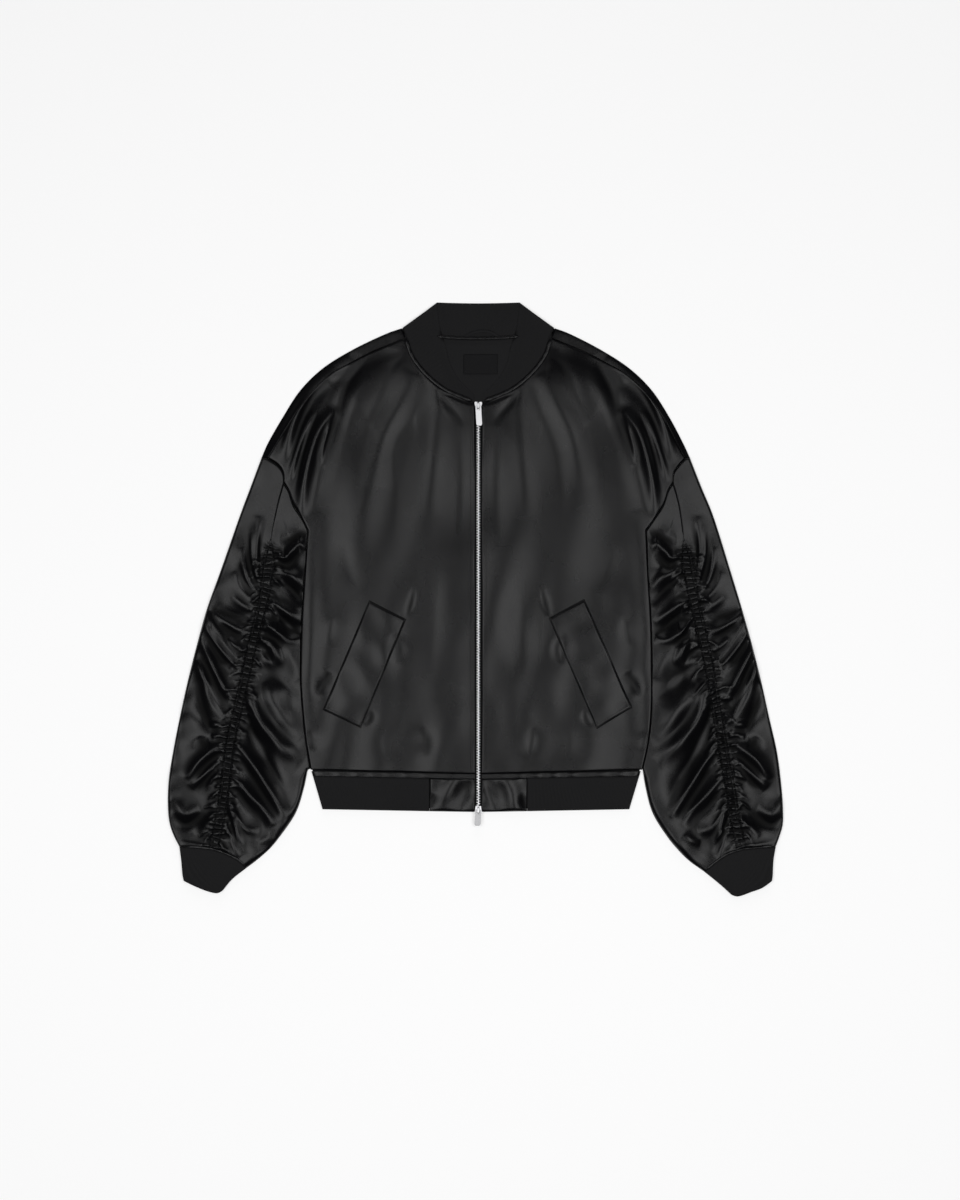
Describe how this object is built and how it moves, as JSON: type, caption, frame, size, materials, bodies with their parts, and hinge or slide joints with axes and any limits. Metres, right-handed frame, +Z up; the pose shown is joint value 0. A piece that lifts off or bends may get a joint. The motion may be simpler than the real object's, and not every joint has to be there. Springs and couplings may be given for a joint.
{
  "type": "bomber jacket",
  "caption": "Zip-up satin bomber jacket with ruched sleeves and rib collar, cuffs and hem, laid flat on its back with its zip closed.",
  "frame": {"origin": "on the surface that the jacket lies on, under the zip line, half way between the collar's top and the cuffs' ends", "axes": "+X to the viewer's right across the sleeves, +Y to the collar, +Z up from the surface; the jacket's front faces +Z"},
  "size_m": [0.8316, 0.8027, 0.0175],
  "materials": {
    "satin": "black satin with a soft sheen, bright on the folds and near black in the creases",
    "rib_knit": "matt black rib knit",
    "lining": "black lining satin, a little duller than the shell",
    "tape": "black woven tape",
    "zip_metal": "polished silver-coloured zip metal"
  },
  "bodies": {
    "jacket": {"back_panel": "satin", "hem_rib_back": "rib_knit", "collar_back": "rib_knit", "neck_lining": "lining", "neck_label": "tape", "hanger_loop": "satin", "front_left": "satin", "front_right": "satin", "shoulder_left": "satin", "shoulder_right": "satin", "sleeve_outer_left": "satin", "sleeve_outer_right": "satin", "sleeve_inner_left": "satin", "sleeve_inner_right": "satin", "ruche_left": "satin", "ruche_right": "satin", "sleeve_back_left": "satin", "sleeve_back_right": "satin", "cuff_left": "rib_knit", "cuff_right": "rib_knit", "collar_front_left": "rib_knit", "collar_front_right": "rib_knit", "neck_piping_left": "satin", "neck_piping_right": "satin", "hem_strip_left": "satin", "hem_strip_right": "satin", "hem_rib_left": "rib_knit", "hem_rib_right": "rib_knit", "hem_block_left": "satin", "hem_block_right": "satin", "pocket_left": "satin", "pocket_right": "satin", "zip_tape_left": "tape", "zip_tape_right": "tape", "zip_chain": "zip_metal", "slider_top": "zip_metal", "slider_bottom": "zip_metal"},
    "top_pull": {"pull_top": "zip_metal"},
    "bottom_pull": {"pull_bottom": "zip_metal"}
  },
  "joints": [
    {"name": "top_pull_lift", "type": "hinge", "parent": "jacket", "child": "top_pull", "pos_m": [0, 0.2603, 0.0096], "axis": [-1, 0, 0], "range_deg": [0, 160]},
    {"name": "bottom_pull_lift", "type": "hinge", "parent": "jacket", "child": "bottom_pull", "pos_m": [0, -0.2856, 0.0096], "axis": [-1, 0, 0], "range_deg": [0, 160]}
  ]
}
